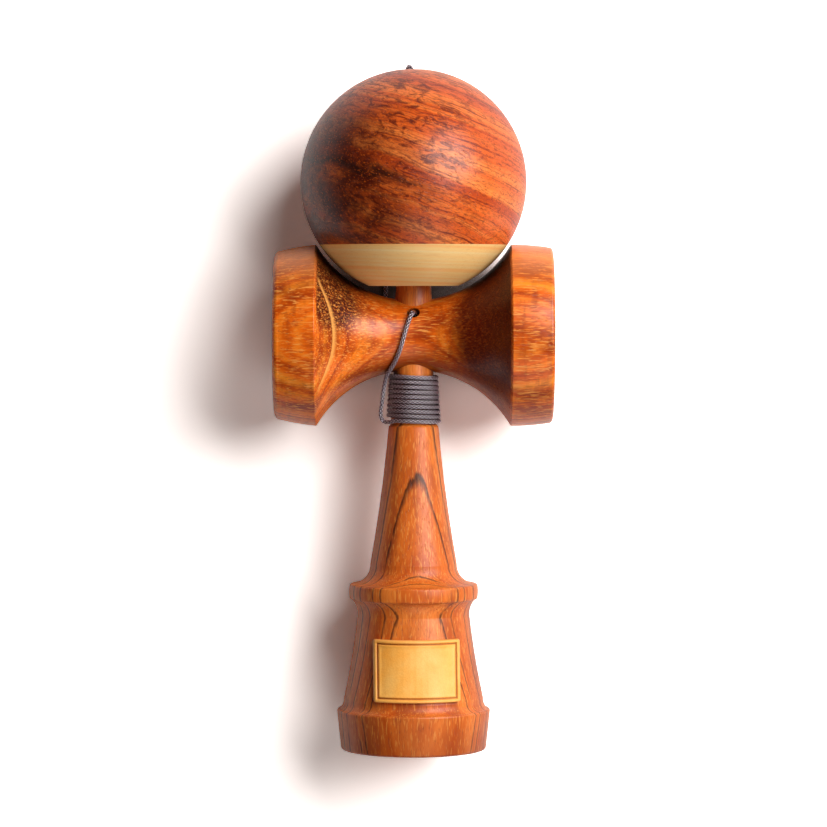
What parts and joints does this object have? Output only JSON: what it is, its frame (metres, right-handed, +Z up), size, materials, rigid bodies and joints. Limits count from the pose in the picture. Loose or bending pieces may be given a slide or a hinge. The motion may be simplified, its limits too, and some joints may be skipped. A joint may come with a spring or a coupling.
{
  "type": "kendama",
  "caption": "Wooden cup-and-ball toy: a turned handle with a spike and base cup, a cross-piece with two cups, and a drilled ball on a string.",
  "frame": {"origin": "on the table, under the middle of the toy as it lies on its back", "axes": "+Z up from the table, +Y along the toy towards the ball, +X towards the big cup"},
  "size_m": [0.0742, 0.1835, 0.06],
  "materials": {
    "ken_wood": "oiled brown hardwood with dark growth lines",
    "sarado_wood": "oiled orange-brown hardwood with gold flecks",
    "crown_wood": "satin dark reddish hardwood with a slanting figure",
    "maple": "satin pale maple with fine straight grain",
    "bead_wood": "plain wood",
    "leather": "tan vegetable leather with a pressed border",
    "string": "grey braided cord"
  },
  "bodies": {
    "ken": {"ken": "ken_wood", "sarado": "sarado_wood", "leather_patch": "leather", "ken_knot": "string", "string_in_ken": "string", "string_front": "string", "string_winding": "string", "string_back": "string"},
    "string_end": {"bead": "bead_wood", "ball_knot": "string", "string_in_ball": "string"},
    "ball": {"ball_crown": "crown_wood", "ball_foot": "maple"}
  },
  "joints": [
    {"name": "ball_lift", "type": "slide", "parent": "ken", "child": "string_end", "axis": [0, 0.9993, 0.037], "range_m": [0, 0.05], "deforming": ["string_back"]},
    {"name": "ball_spin", "type": "hinge", "parent": "string_end", "child": "ball", "pos_m": [0, 0.06103, 0.03], "axis": [0, 0.9993, 0.037], "continuous": true}
  ]
}
